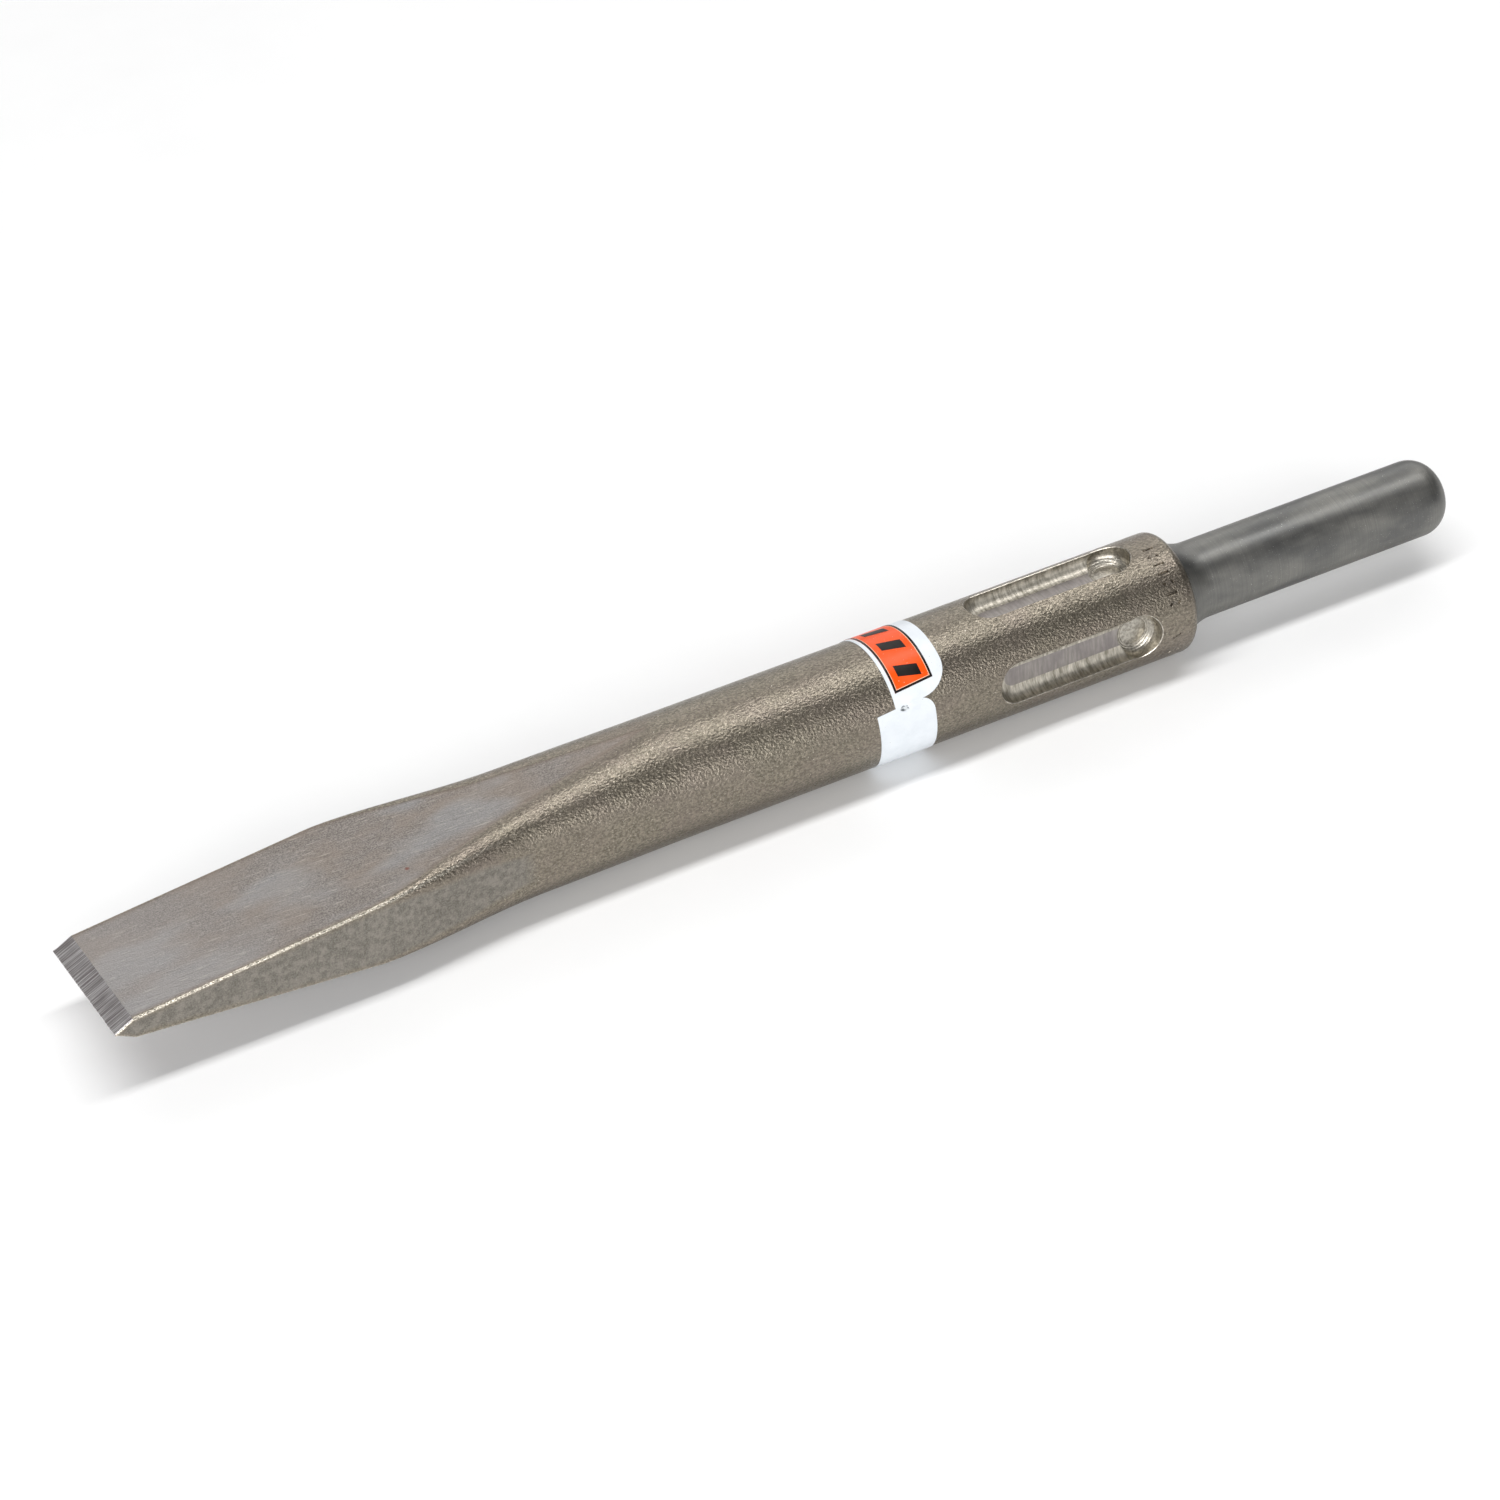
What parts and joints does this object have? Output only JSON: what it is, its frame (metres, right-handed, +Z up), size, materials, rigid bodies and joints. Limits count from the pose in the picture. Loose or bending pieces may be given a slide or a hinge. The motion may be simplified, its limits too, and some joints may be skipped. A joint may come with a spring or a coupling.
{
  "type": "flat chisel bit",
  "caption": "Flat chisel bit for a chipping hammer: forged blade, slotted round shank, ground striking pin and a wrap-round label.",
  "frame": {"origin": "on the bit's axis, halfway along the round shank, where a tool holder grips it", "axes": "+X along the bit from the cutting edge to the striking pin, +Z up with the blade's flats level"},
  "size_m": [0.28, 0.0296, 0.0239],
  "materials": {
    "tool_steel": "shot-blasted forging, ground pin and bevel",
    "label_film": "satin white vinyl film",
    "orange_ink": "printed ink film",
    "black_ink": "printed ink film"
  },
  "bodies": {
    "root": {"chisel_bit": "tool_steel", "wrap_label": "label_film", "label_field": "orange_ink", "label_marks": "black_ink"}
  },
  "joints": []
}
